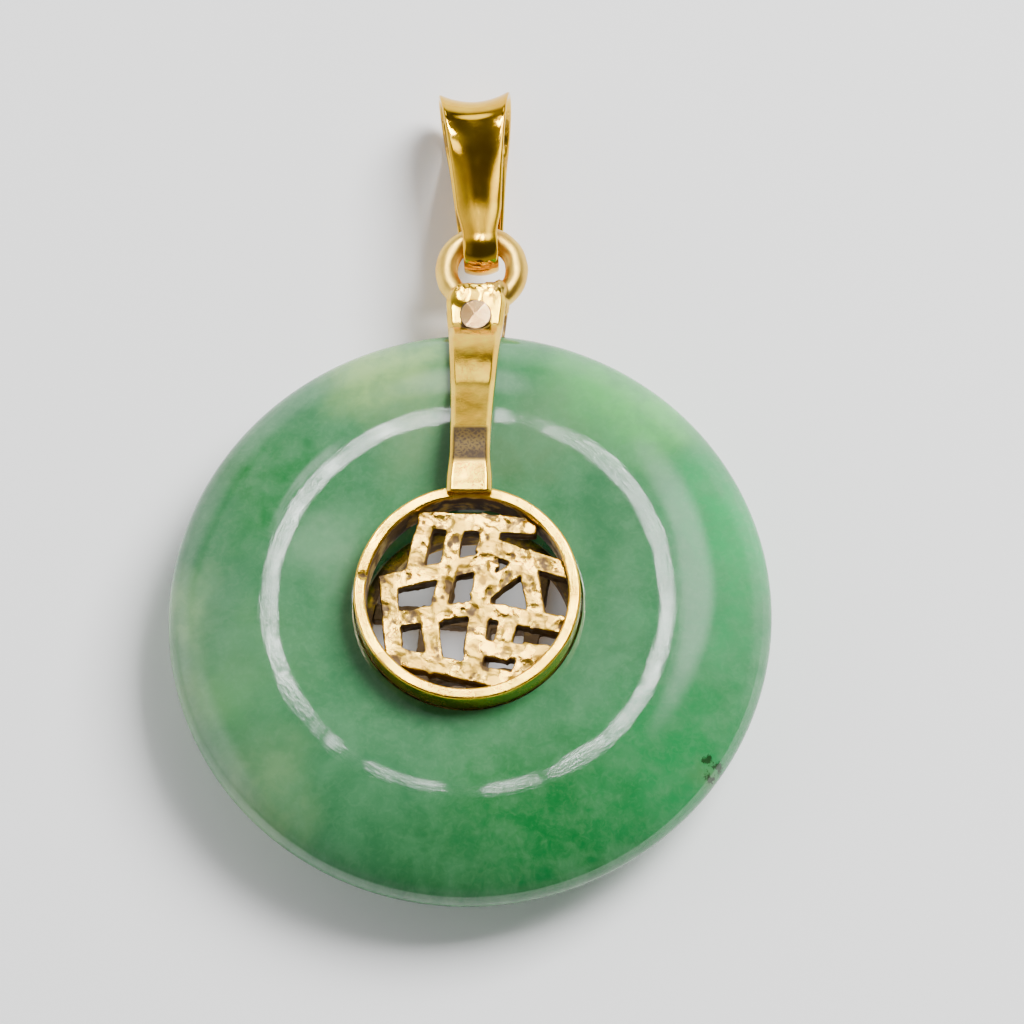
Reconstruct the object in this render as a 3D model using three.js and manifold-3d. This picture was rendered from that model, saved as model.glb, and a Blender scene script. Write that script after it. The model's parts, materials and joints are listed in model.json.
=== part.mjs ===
// A jade bi disc set as a pendant: a crowned green stone ring held between two gold straps.
// Each strap ends on a short gold collar, which seats in the disc's hole and frames a pierced gold medallion.
// The straps meet above the disc, where a rivet joins them around a round ring, and a tapered bail swings on that ring.
// Millimetres. +Z is out of the front face, +Y runs up the pendant to its bail, and the pendant lies on its back.
// The origin is the middle of the footprint, on the surface that the pendant lies on.
import * as THREE from "three";
import { mergeVertices } from "three/addons/utils/BufferGeometryUtils.js";
import Module from "manifold-3d";

// Jade disc. Heights are measured from the disc's middle plane, as they are in every piece below.
const discRadius = 15;
const holeRadius = 5.66;
const crestRadius = 9.9; // the soft ring-shaped crest between the dished face and the outer slope
const crestHeight = 2.55;
const holeEdgeHeight = 2.38;
const dishPower = 1.3; // how the dish rises from the hole to the crest
const crestFall = 0.56; // how sharply the slope leaves the crest
const rimPower = 2.2; // how it rounds into the rim
const holeEdgeRounding = 0.15;

// Gaps between pieces
const seatGap = 0.03; // between faces that rest on each other
const collarClearance = 0.05; // between a collar and the wall of the hole

// Collars
const collarWall = 0.6;
const frontProud = 1.47; // how far the front collar stands out of the stone
const backProud = 0.92;
const collarSeat = 0.43; // how far it reaches into the hole
const collarChamfer = 0.1;

// Medallions
const plateThickness = 0.9;
const plateRecess = 0.42; // below the collar's rim

// Straps
const strapThickness = 0.5;
const strapBevel = 0.22;
const strapLift = 0.1; // between the strap and the stone's slope
const strapWaist = 2.0; // width over the dished face
const strapFoot = 2.25; // width where it meets the collar
const frontTabWidth = 3.0;
const backTabWidth = 3.1;
const tabReach = 2.5; // how far the straps reach past the disc's rim
const tabRound = 1.0; // length of the rounded end of a tab

// Rivet
const rivetOffset = 0.7; // from the disc's rim to the rivet's axis
const rivetShank = 0.42;
const rivetHead = 0.8;
const rivetHeadHeight = 0.35;
const rivetClearance = 0.05;
const rivetSeatDepth = 0.04; // the head sits in a shallow spot face

// Ring of round wire, held between the two straps' ends
const wireRadius = 0.58;
const ringRadius = 1.77;
const ringOffset = 0.22; // the ring is soldered in to the right of the middle
const ringLap = 0.08; // how far the tabs reach past the wire

// Bail
const bailSheet = 0.36;
const bailPlay = 0.52; // between the wire and each leaf
const bailDrop = 0.55; // from the wire's axis down to the middle of the bail's eye
const bailLength = 6.1; // from the wire's axis up to the middle of the fold
const bailFoldRadius = 1.9;
const bailEyeWidth = 1.75;
const bailLeafWidth = 2.06; // where the leaves leave the eye
const bailTopWidth = 3.7;
const bailFlare = 0.55; // how far the edges of the fold stand out
const bailCrown = 0.2; // how much thinner the leaves are at their edges than along the middle
const bailSkew = 3.5; // degrees that the bail has slid round the ring to the left

const smallestDetail = 0.005; // slivers finer than this are dropped where a piece is cut

const jadeColour = 0x4f9a63;
const goldColour = 0xd9b25f;
const roseGoldColour = 0xd8ad8c;

const collarRadius = holeRadius - collarClearance;
const collarBore = collarRadius - collarWall;
const frontTop = holeEdgeHeight + frontProud; // the front collar's rim
const backTop = holeEdgeHeight + backProud; // the back collar's rim, on which the pendant lies
const tabHeight = wireRadius + seatGap; // underside of a strap's tab, above the middle plane
const tabEnd = discRadius + tabReach;
const ringCentre = tabEnd - ringLap + ringRadius - wireRadius;

const wasm = await Module();
wasm.setup();

const jade = new THREE.MeshStandardMaterial({ color: jadeColour, roughness: 0.12, metalness: 0 });
const gold = new THREE.MeshStandardMaterial({ color: goldColour, roughness: 0.25, metalness: 1 });
const roseGold = new THREE.MeshStandardMaterial({ color: roseGoldColour, roughness: 0.35, metalness: 1 });

// A closed three.js geometry as a solid for cutting and joining.
function solidOf(geometry) {
  const bare = new THREE.BufferGeometry();
  bare.setAttribute("position", geometry.getAttribute("position"));
  bare.setIndex(geometry.getIndex());
  const merged = mergeVertices(bare, 1e-4);
  return new wasm.Manifold(
    new wasm.Mesh({
      numProp: 3,
      vertProperties: merged.attributes.position.array,
      triVerts: new Uint32Array(merged.index.array),
    }),
  );
}

function geometryOf(solid) {
  const mesh = solid.getMesh();
  const geometry = new THREE.BufferGeometry();
  geometry.setAttribute("position", new THREE.BufferAttribute(mesh.vertProperties, 3));
  geometry.setIndex(new THREE.BufferAttribute(mesh.triVerts, 1));
  geometry.computeVertexNormals();
  return geometry;
}

function piece(name, geometry, material) {
  const mesh = new THREE.Mesh(geometry, material);
  mesh.name = name;
  return mesh;
}

// A profile of [radius, height] points turned about the Z axis. The profile closes on itself or ends on the axis.
function turned(profile, segments) {
  const points = profile.map(([radius, height]) => new THREE.Vector2(radius, height));
  return new THREE.LatheGeometry(points, segments).rotateX(Math.PI / 2);
}

// A skin through rings of points. The end rings are capped, or the last ring joins the first.
function skin(rings, joined) {
  const count = rings[0].length;
  const index = [];
  const steps = joined ? rings.length : rings.length - 1;
  for (let i = 0; i < steps; i++) {
    const here = i * count;
    const next = ((i + 1) % rings.length) * count;
    for (let j = 0; j < count; j++) {
      const k = (j + 1) % count;
      index.push(here + j, here + k, next + k, here + j, next + k, next + j);
    }
  }
  const last = (rings.length - 1) * count;
  for (let j = 1; !joined && j < count - 1; j++) {
    index.push(0, j + 1, j, last, last + j, last + j + 1);
  }
  const geometry = new THREE.BufferGeometry().setFromPoints(rings.flat());
  geometry.setIndex(index);
  geometry.computeVertexNormals();
  return geometry;
}

// Half the disc's thickness at a radius: a shallow dish from the hole to the crest, then a slope that rounds into the rim.
function stoneHeight(radius) {
  if (radius < crestRadius) {
    const t = (radius - holeRadius) / (crestRadius - holeRadius);
    return holeEdgeHeight + (crestHeight - holeEdgeHeight) * Math.pow(Math.max(0, t), dishPower);
  }
  const s = Math.min(1, (radius - crestRadius) / (discRadius - crestRadius));
  const fall = crestFall * s + (1 - crestFall) * Math.pow(s, rimPower);
  return crestHeight * Math.sqrt(Math.max(0, 1 - fall));
}

function makeDisc() {
  const dishSteps = 4;
  const slopeSteps = 9;
  const face = [[holeRadius, holeEdgeHeight - holeEdgeRounding]];
  for (let i = 0; i <= dishSteps; i++) {
    const start = holeRadius + holeEdgeRounding;
    const radius = start + ((crestRadius - start) * i) / dishSteps;
    face.push([radius, stoneHeight(radius)]);
  }
  for (let i = 1; i < slopeSteps; i++) {
    const share = Math.sin((i / slopeSteps) * (Math.PI / 2));
    const radius = crestRadius + (discRadius - crestRadius) * share;
    face.push([radius, stoneHeight(radius)]);
  }
  const back = face.map(([radius, height]) => [radius, -height]).reverse();
  const profile = [...face, [discRadius, 0], ...back, face[0]].reverse();
  return piece("jade_disc", turned(profile, 64), jade);
}

// side is 1 for the front and -1 for the back, here and below
function makeCollar(name, side, collarTop) {
  const low = holeEdgeHeight - collarSeat;
  const c = collarChamfer;
  const section = [
    [collarRadius, low],
    [collarRadius, collarTop - c],
    [collarRadius - c, collarTop],
    [collarBore + c, collarTop],
    [collarBore, collarTop - c],
    [collarBore, low],
    [collarRadius, low],
  ];
  const profile = section.map(([radius, height]) => [radius, side * height]);
  return piece(name, turned(side > 0 ? profile : profile.reverse(), 48), gold);
}

// One straight stroke of the fretwork, from one point to another, as a block of the plate.
function stroke([x1, y1, x2, y2, width]) {
  const length = Math.hypot(x2 - x1, y2 - y1);
  const block = new THREE.BoxGeometry(length + width, width, plateThickness);
  block.rotateZ(Math.atan2(y2 - y1, x2 - x1));
  return block.translate((x1 + x2) / 2, (y1 + y2) / 2, 0);
}

// Each pierced plate is an irregular lattice of slanted strokes, given as shares of the collar's bore:
// x and y of each end, then the width. What reaches past the bore is cut off round. The back one is plainer.
const frontFretwork = [
  [-0.42, 0.78, 0.58, 0.74, 0.19],
  [-0.42, 0.78, -0.52, 0.32, 0.17],
  [-0.12, 0.76, -0.2, 0.28, 0.17],
  [-0.79, 0.13, 0.2, 0.36, 0.18],
  [-0.79, 0.13, -0.71, -0.64, 0.17],
  [-0.71, -0.64, 0.32, -0.87, 0.19],
  [0.22, 0.76, 0.06, -0.8, 0.20],
  [-0.18, 0.28, -0.3, -0.2, 0.16],
  [-0.75, -0.27, 0.12, -0.13, 0.16],
  [-0.38, -0.2, -0.3, -0.74, 0.17],
  [0.18, 0.52, 1.0, 0.26, 0.18],
  [0.14, 0.0, 0.6, 0.38, 0.17],
  [0.58, 0.38, 0.7, -0.26, 0.17],
  [0.12, -0.15, 1.0, -0.32, 0.18],
  [0.42, -0.22, 0.34, -0.58, 0.19],
  [0.08, -0.55, 0.86, -0.62, 0.17],
  [0.62, -0.6, 0.5, -0.95, 0.19],
];
const backFretwork = [
  [-1.0, 0.2, 1.0, 0.06, 0.17],
  [-0.9, -0.42, 0.87, -0.5, 0.17],
  [0.18, 1.0, 0.02, -1.0, 0.19],
  [-0.2, 0.98, -0.3, 0.18, 0.16],
  [-0.42, 0.18, -0.5, -0.46, 0.16],
  [0.62, 0.1, 0.55, -0.48, 0.16],
  [0.6, 0.1, 0.72, 0.72, 0.16],
];

function makeMedallion(name, side, collarTop, fretwork) {
  const bore = collarBore - seatGap;
  const blank = new THREE.CylinderGeometry(bore, bore, plateThickness, 64).rotateX(Math.PI / 2);
  const lattice = fretwork
    .map((shares) => solidOf(stroke(shares.map((share) => share * bore))))
    .reduce((joined, next) => joined.add(next));
  const plate = piece(name, geometryOf(lattice.intersect(solidOf(blank))), gold);
  plate.position.z = side * (collarTop - plateRecess - plateThickness / 2);
  return plate;
}

// The underside of a strap, as [distance up the pendant, height over the middle plane]: level off the collar,
// bent down over the crest, along the stone's slope to its rim and level again along the tab.
function strapLine(footY, footHeight) {
  const bendY = (collarRadius + crestRadius) / 2 + 0.1;
  const bendLength = 0.8;
  const slopeSteps = 3;
  const slopeStart = crestRadius + 0.28 * (discRadius - crestRadius);
  const slopeEnd = discRadius - 0.7;
  const drop = footHeight - stoneHeight(slopeStart) - strapLift;
  const line = [
    [footY, footHeight],
    [bendY - bendLength / 2, footHeight],
    [bendY, footHeight - 0.03 * drop],
    [bendY + bendLength / 2, footHeight - 0.11 * drop],
  ];
  for (let i = 0; i <= slopeSteps; i++) {
    const y = slopeStart + ((slopeEnd - slopeStart) * i) / slopeSteps;
    line.push([y, stoneHeight(y) + strapLift]);
  }
  line.push([discRadius - seatGap, tabHeight + seatGap]);
  line.push([discRadius + 0.35, tabHeight]);
  const round = [1, 0.6, 0.3, 0.12, 0.03, 0].map((share) => [tabEnd - share * tabRound, tabHeight]);
  return [...line, ...round];
}

// Half the strap's width at a distance up the pendant: a foot, a waist, a widening tab and a rounded end.
function strapHalfWidth(y, footY, tabWidth) {
  const waistY = footY + (crestRadius - collarBore) * 0.45;
  const tab = Math.pow(THREE.MathUtils.clamp((y - waistY) / (tabEnd - tabRound - waistY), 0, 1), 1.8);
  const foot = 1 - THREE.MathUtils.smoothstep(y, footY + 0.5, waistY);
  const width = strapWaist + (tabWidth - strapWaist) * tab + (strapFoot - strapWaist) * foot;
  const toEnd = THREE.MathUtils.clamp((y - (tabEnd - tabRound)) / tabRound, 0, 1);
  return (width / 2) * (0.55 + 0.45 * Math.sqrt(1 - toEnd * toEnd));
}

// The way out of the underside at each of its points: the normals of the stretches before and after, mitred.
function mitres(line) {
  const normals = line.slice(1).map(([y, height], i) => {
    return new THREE.Vector2(line[i][1] - height, y - line[i][0]).normalize();
  });
  return line.map((at, i) => {
    const before = normals[Math.max(0, i - 1)];
    const after = normals[Math.min(normals.length - 1, i)];
    return before.clone().add(after).divideScalar(1 + before.dot(after));
  });
}

function makeStrap(name, side, footY, footHeight, tabWidth) {
  const line = strapLine(footY, footHeight);
  const out = mitres(line);
  const rings = line.map(([y, height], i) => {
    const half = strapHalfWidth(y, footY, tabWidth);
    const section = [
      [-half, 0],
      [half, 0],
      [half, strapThickness - strapBevel],
      [half - strapBevel, strapThickness],
      [-half + strapBevel, strapThickness],
      [-half, strapThickness - strapBevel],
    ].map(([x, up]) => new THREE.Vector3(x, y + up * out[i].x, side * (height + up * out[i].y)));
    return side > 0 ? section.reverse() : section;
  });
  const seat = tabHeight + strapThickness - rivetSeatDepth;
  const strap = solidOf(skin(rings, false))
    .subtract(solidOf(rivetCut(rivetShank, 0)))
    .subtract(solidOf(rivetCut(rivetHead, side * (seat + frontTop))));
  return piece(name, geometryOf(strap.simplify(smallestDetail)), gold);
}

// What a strap loses to the rivet: a hole for the shank, and a flat seat under the head.
function rivetCut(radius, middle) {
  const reach = radius + rivetClearance;
  const cut = new THREE.CylinderGeometry(reach, reach, 2 * frontTop, 24).rotateX(Math.PI / 2);
  return cut.translate(0, discRadius + rivetOffset, middle);
}

function makeRivet() {
  const seat = tabHeight + strapThickness - rivetSeatDepth + seatGap;
  const front = [
    [rivetShank, seat],
    [rivetHead, seat],
    [rivetHead, seat + rivetHeadHeight * 0.6],
    [rivetHead * 0.82, seat + rivetHeadHeight],
    [0, seat + rivetHeadHeight],
  ];
  const back = front.map(([radius, height]) => [radius, -height]).reverse();
  const rivet = piece("rivet", turned([...back, ...front], 24), roseGold);
  rivet.position.y = discRadius + rivetOffset;
  return rivet;
}

function makeRing() {
  const ring = piece("hanging_ring", new THREE.TorusGeometry(ringRadius, wireRadius, 12, 36), gold);
  ring.position.set(ringOffset, ringCentre, 0);
  return ring;
}

// The bail is a strip of sheet bent into a long closed loop: a round eye below the wire, two leaves and a round fold.
// Across its width the strip's outer face is crowned, and it flares like a saddle at the fold.
function bailGeometry() {
  const eyeRadius = wireRadius + bailPlay + bailSheet / 2;
  const foldRadius = bailFoldRadius - bailSheet / 2;
  const lean = Math.asin((foldRadius - eyeRadius) / (bailLength + bailDrop));
  const line = new THREE.Path();
  line.absarc(0, bailLength, foldRadius, -lean, Math.PI + lean, false);
  line.absarc(0, -bailDrop, eyeRadius, Math.PI + lean, 2 * Math.PI - lean, false);
  line.closePath();
  const steps = 44;
  const across = [-1, -0.62, -0.2, 0.2, 0.62, 1];
  const rings = [];
  for (let i = 0; i < steps; i++) {
    const at = line.getPointAt(i / steps);
    const tangent = line.getTangentAt(i / steps);
    const t = THREE.MathUtils.clamp((at.y + bailDrop) / (bailLength + foldRadius + bailDrop), 0, 1);
    const shoulder = THREE.MathUtils.smoothstep(t, 0, 0.2);
    const spread = 0.73 * t + 0.27 * Math.pow(t, 6);
    const leaf = bailEyeWidth + (bailLeafWidth - bailEyeWidth) * shoulder;
    const half = (leaf + (bailTopWidth - bailLeafWidth) * spread) / 2;
    const flared = Math.pow(t, 4);
    const point = (share, out) => {
      const crown = out > 0 ? bailCrown * (1 - flared) : 0;
      const reach = out + (bailFlare * flared - crown) * share * share;
      return new THREE.Vector3(share * half, at.y - tangent.x * reach, at.x + tangent.y * reach);
    };
    const outer = across.map((share) => point(share, bailSheet / 2));
    const inner = across.map((share) => point(share, -bailSheet / 2)).reverse();
    rings.push([...outer, ...inner]);
  }
  return skin(rings, true);
}

// The bail leans back on its ring until the fold lies on the surface: the angle is found by halving.
function makeBail() {
  const geometry = bailGeometry();
  const turn = (angle) => geometry.clone().rotateX(-angle);
  let [least, most] = [0, Math.PI / 4];
  for (let i = 0; i < 30; i++) {
    const angle = (least + most) / 2;
    const laid = turn(angle);
    laid.computeBoundingBox();
    if (laid.boundingBox.min.z < -backTop) {
      most = angle;
    } else {
      least = angle;
    }
  }
  const skew = THREE.MathUtils.degToRad(bailSkew);
  const bail = piece("bail", turn(least).rotateZ(skew), gold);
  bail.position.set(ringOffset - ringRadius * Math.sin(skew), ringCentre + ringRadius * Math.cos(skew), 0);
  return bail;
}

const pendant = new THREE.Group();
pendant.add(
  makeDisc(),
  makeCollar("front_collar", 1, frontTop),
  makeCollar("back_collar", -1, backTop),
  makeMedallion("front_medallion", 1, frontTop, frontFretwork),
  makeMedallion("back_medallion", -1, backTop, backFretwork),
  makeStrap("front_strap", 1, collarBore + collarChamfer, frontTop + seatGap, frontTabWidth),
  makeStrap("back_strap", -1, collarRadius + 2 * seatGap, backTop - strapThickness, backTabWidth),
  makeRivet(),
  makeRing(),
  makeBail(),
);

// The pendant lies on its back collar, and its footprint is centred on the origin.
const bounds = new THREE.Box3().setFromObject(pendant, true);
pendant.position.set(0, -(bounds.min.y + bounds.max.y) / 2, backTop);

const part = new THREE.Group();
part.add(pendant);

export default part;
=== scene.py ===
# Jade bi disc pendant: the finish of every piece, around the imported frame.
# Lengths are millimetres from the middle of the disc until a mesh is written, which is in the frame's metres.
import bpy
import bmesh
import json
import math
import numpy as np
from mathutils import Matrix, Vector


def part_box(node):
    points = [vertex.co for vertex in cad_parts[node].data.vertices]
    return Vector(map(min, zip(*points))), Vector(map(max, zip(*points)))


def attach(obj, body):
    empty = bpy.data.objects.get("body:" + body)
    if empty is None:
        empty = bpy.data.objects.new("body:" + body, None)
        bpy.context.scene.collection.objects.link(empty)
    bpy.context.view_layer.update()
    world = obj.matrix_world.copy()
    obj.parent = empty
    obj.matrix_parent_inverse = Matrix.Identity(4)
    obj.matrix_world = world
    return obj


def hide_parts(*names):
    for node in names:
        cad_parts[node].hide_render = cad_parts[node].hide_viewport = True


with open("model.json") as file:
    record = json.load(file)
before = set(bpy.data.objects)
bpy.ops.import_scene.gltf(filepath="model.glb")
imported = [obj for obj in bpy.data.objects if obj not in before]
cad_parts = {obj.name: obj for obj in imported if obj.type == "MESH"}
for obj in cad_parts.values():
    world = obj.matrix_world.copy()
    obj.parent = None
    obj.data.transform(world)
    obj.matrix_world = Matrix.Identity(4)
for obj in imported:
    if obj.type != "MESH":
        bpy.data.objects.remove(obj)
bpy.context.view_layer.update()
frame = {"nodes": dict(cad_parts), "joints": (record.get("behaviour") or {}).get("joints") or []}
jadeLow, jadeHigh = (np.array(corner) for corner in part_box("jade_disc"))
discMiddle = (jadeLow + jadeHigh) / 2
discRadius = (jadeHigh[0] - jadeLow[0]) * 500
bailJoint = next(joint for joint in frame["joints"] if joint["name"] == "bail_swing")


def boxInMillimetres(node):
    low, high = (np.array(corner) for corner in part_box(node))
    return (low - discMiddle) * 1000, (high - discMiddle) * 1000


# Mesh tools

def gridFaces(rows, columns, joinRows=False):
    # Quads between neighbours on a grid whose rows close on themselves, and whose last row meets the first
    # where they are joined.
    i, j = np.meshgrid(np.arange(rows if joinRows else rows - 1), np.arange(columns), indexing="ij")
    start, nextStart = i * columns, (i + 1) % rows * columns
    nextColumn = (j + 1) % columns
    corners = (start + j, start + nextColumn, nextStart + nextColumn, nextStart + j)
    return np.stack(corners, -1).reshape(-1, 4)


def capFaces(start, count, flip=False):
    # One polygon over a loop of points.
    loop = list(range(start, start + count))
    return loop[::-1] if flip else loop


def tubeFaces(rows, columns):
    # A grid with a cap on each end.
    caps = [capFaces(0, columns, flip=True), capFaces((rows - 1) * columns, columns)]
    return list(gridFaces(rows, columns)) + caps


def fullTurn(count):
    return np.linspace(0, 2 * math.pi, count, endpoint=False)


def turnedPoints(radii, heights, around):
    # A profile turned about the axis: radius times cosine, radius times sine, height.
    angles = fullTurn(around)
    rows = [np.outer(radii, np.cos(angles)), np.outer(radii, np.sin(angles))]
    rows.append(np.outer(heights, np.ones_like(angles)))
    return np.stack(rows, -1).reshape(-1, 3)


def ripple(points, size, seed):
    # Smooth noise: the mean of sine waves of about the given length that run in random directions.
    rng = np.random.default_rng(seed)
    count = 16
    ways = rng.normal(size=(count, 3))
    ways /= np.linalg.norm(ways, axis=1, keepdims=True)
    waves = ways * (2 * math.pi / size) * rng.uniform(0.6, 1.5, (count, 1))
    return np.sin(points @ waves.T + rng.uniform(0, 2 * math.pi, count)).sum(1) / math.sqrt(count / 2)


def smoothStep(values, start, end):
    # 0 at start and 1 at end: three times the square of the way less twice its cube.
    t = np.clip((values - start) / (end - start), 0, 1)
    return t * t * (3 - 2 * t)


def bell(values, width):
    # 1 at 0, falling as e to the minus square of values over width.
    return np.exp(-((values / width) ** 2))


def makeMesh(name, points, faces):
    # A smooth mesh with its faces turned outwards.
    mesh = bpy.data.meshes.new(name)
    mesh.from_pydata(points.tolist(), [], [list(face) for face in faces])
    mesh.validate()
    mesh.shade_smooth()
    work = bmesh.new()
    work.from_mesh(mesh)
    bmesh.ops.recalc_face_normals(work, faces=work.faces)
    work.to_mesh(mesh)
    work.free()
    return mesh


def newObject(name, data):
    made = bpy.data.objects.new(name, data)
    bpy.context.scene.collection.objects.link(made)
    return made


def makePiece(name, points, faces, material, body, nodes, masks=None):
    mesh = makeMesh(name, points * 0.001 + discMiddle, faces)
    for maskName, values in (masks or {}).items():
        layer = mesh.attributes.new(maskName, "FLOAT", "POINT")
        layer.data.foreach_set("value", np.asarray(values, dtype=np.float32))
    mesh.materials.append(material)
    piece = newObject(name, mesh)
    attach(piece, body)
    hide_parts(*nodes)
    print(name, len(points), "points")


def voxelSkin(meshes, voxel, smoothing):
    # The shapes joined into one skin of small even quads, which rounds their edges.
    joined = bmesh.new()
    for mesh in meshes:
        joined.from_mesh(mesh)
    bmesh.ops.remove_doubles(joined, verts=joined.verts, dist=1e-4)
    source = bpy.data.meshes.new("skinSource")
    joined.to_mesh(source)
    joined.free()
    carrier = newObject("skinSource", source)
    remesh = carrier.modifiers.new("remesh", "REMESH")
    remesh.mode = "VOXEL"
    remesh.voxel_size = voxel
    smooth = carrier.modifiers.new("smooth", "SMOOTH")
    smooth.factor = 0.5
    smooth.iterations = smoothing
    skin = bpy.data.meshes.new_from_object(carrier.evaluated_get(bpy.context.evaluated_depsgraph_get()))
    points = np.empty(len(skin.vertices) * 3)
    skin.vertices.foreach_get("co", points)
    normals = np.empty(len(skin.vertices) * 3)
    skin.vertex_normals.foreach_get("vector", normals)
    faces = [tuple(polygon.vertices) for polygon in skin.polygons]
    bpy.data.objects.remove(carrier)
    return points.reshape(-1, 3), normals.reshape(-1, 3), faces


# Shader tools

def screenColour(red, green, blue):
    # A colour as a screen shows it, 0 to 255, as the light values that a shader takes.
    def light(value):
        value /= 255
        return value / 12.92 if value <= 0.04045 else ((value + 0.055) / 1.055) ** 2.4

    return light(red), light(green), light(blue), 1.0


class Shader:
    # A short way to write node trees: add makes a node, sets its values and links its inputs.
    def __init__(self, tree):
        self.tree = tree

    def add(self, kind, inputs=None, **settings):
        node = self.tree.nodes.new("ShaderNode" + kind)
        for key, value in settings.items():
            setattr(node, key, value)
        return self.fill(node, inputs or {})

    def fill(self, node, inputs):
        for key, value in inputs.items():
            self.put(node.inputs[key], value)
        return node

    def put(self, socket, value):
        if isinstance(value, bpy.types.NodeSocket):
            self.tree.links.new(value, socket)
        else:
            socket.default_value = value

    def math(self, operation, first, second=0.0):
        return self.add("Math", {0: first, 1: second}, operation=operation).outputs[0]

    def times(self, first, second):
        return self.math("MULTIPLY", first, second)

    def plus(self, first, second):
        return self.math("ADD", first, second)

    def vector(self, operation, first, second, part="Vector"):
        return self.add("VectorMath", {0: first, 1: second}, operation=operation).outputs[part]

    def stretch(self, value, fromLow, fromHigh, toLow=0.0, toHigh=1.0):
        inputs = {"Value": value, "From Min": fromLow, "From Max": fromHigh, "To Min": toLow, "To Max": toHigh}
        return self.add("MapRange", inputs, interpolation_type="SMOOTHSTEP").outputs["Result"]

    def blend(self, mask, first, second):
        node = self.add("Mix", data_type="RGBA")
        return self.fill(node, {0: mask, 6: first, 7: second}).outputs[2]

    def noise(self, vector, scale, detail, roughness=0.5, distortion=0.0, part="Fac"):
        inputs = {"Vector": vector, "Scale": scale, "Detail": detail}
        inputs |= {"Roughness": roughness, "Distortion": distortion}
        return self.add("TexNoise", inputs).outputs[part]

    def group(self, tree, **inputs):
        node = self.tree.nodes.new("ShaderNodeGroup")
        node.node_tree = tree
        return self.fill(node, inputs).outputs


def newGroup(name, inputs, outputs):
    # Inputs without a value are vectors; all else is numbers.
    tree = bpy.data.node_groups.new(name, "ShaderNodeTree")
    for key, value in inputs.items():
        kind = "Vector" if value is None else "Float"
        socket = tree.interface.new_socket(key, in_out="INPUT", socket_type="NodeSocket" + kind)
        if value is not None:
            socket.default_value = value
    for key in outputs:
        tree.interface.new_socket(key, in_out="OUTPUT", socket_type="NodeSocketFloat")
    shader = Shader(tree)
    return tree, shader, tree.nodes.new("NodeGroupInput").outputs, tree.nodes.new("NodeGroupOutput").inputs


def patchGroup():
    # A soft round patch: 1 at its centre, falling to 0 at its reach.
    inputs = {"place": None, "centre": None, "reach": 3.0, "soft": 0.8}
    tree, shader, given, out = newGroup("patch", inputs, ["mask"])
    far = shader.vector("DISTANCE", given["place"], given["centre"], "Value")
    core = shader.times(given["reach"], shader.math("SUBTRACT", 1.0, given["soft"]))
    shader.put(out["mask"], shader.stretch(far, given["reach"], core))
    return tree


def scratchGroup():
    # Fine scratches: thin lines cut out of noise that is stretched along two directions.
    inputs = {"place": None, "fineness": 3.0, "amount": 0.5, "turn": 0.4}
    tree, shader, given, out = newGroup("scratches", inputs, ["mask"])
    lines = []
    for angle, seed in ((0.0, 3.0), (1.1, 9.0)):
        angle = shader.plus(given["turn"], angle)
        turned = shader.add("VectorRotate", {"Vector": given["place"], "Angle": angle}).outputs[0]
        long = shader.vector("MULTIPLY", turned, (0.12, 5.0, 1.0))
        shifted = shader.vector("ADD", long, (seed, seed, seed))
        value = shader.noise(shifted, given["fineness"], 2.0)
        off = shader.math("ABSOLUTE", shader.math("SUBTRACT", value, 0.5))
        lines.append(shader.stretch(off, 0.012, 0.0))
    both = shader.math("MAXIMUM", lines[0], lines[1])
    broken = shader.stretch(shader.noise(given["place"], 0.9, 2.0), 0.45, 0.62)
    shader.put(out["mask"], shader.times(shader.times(both, broken), given["amount"]))
    return tree


def wearGroup():
    # How polished metal is uneven: clouds for its colour, a slow drift for its gloss, a grain for its height.
    inputs = {"place": None, "size": 1.0}
    tree, shader, given, out = newGroup("wear", inputs, ["clouds", "drift", "grain"])
    scale = shader.math("DIVIDE", 1.0, given["size"])
    cloudy = shader.noise(given["place"], scale, 5.0, 0.6)
    shader.put(out["clouds"], shader.stretch(cloudy, 0.35, 0.68))
    slow = shader.noise(given["place"], shader.times(scale, 0.45), 2.0)
    shader.put(out["drift"], shader.stretch(slow, 0.3, 0.7))
    fine = shader.noise(given["place"], shader.times(scale, 9.0), 3.0, 0.6)
    shader.put(out["grain"], fine)
    return tree


groups = {"patch": patchGroup(), "scratches": scratchGroup(), "wear": wearGroup()}


def reopen(material):
    # The shader and the surface of a material that is already made, to add to it.
    surface = next(node for node in material.node_tree.nodes if node.type == "BSDF_PRINCIPLED")
    return Shader(material.node_tree), surface


def newMaterial(name):
    # A plain material with its shader, and the place of each point in millimetres from the disc's middle.
    material = bpy.data.materials.new(name)
    material.use_nodes = True
    tree = material.node_tree
    tree.nodes.clear()
    shader = Shader(tree)
    surface = shader.add("BsdfPrincipled")
    tree.links.new(surface.outputs[0], shader.add("OutputMaterial").inputs["Surface"])
    coordinates = shader.add("TexCoord").outputs["Object"]
    moved = shader.vector("ADD", coordinates, tuple(-discMiddle))
    place = shader.vector("MULTIPLY", moved, (1000, 1000, 1000))
    return material, shader, surface, place


def bump(shader, surface, height, distance):
    node = shader.add("Bump", {"Distance": distance * 0.001, "Height": height})
    shader.put(surface.inputs["Normal"], node.outputs[0])


# Jade disc

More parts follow.
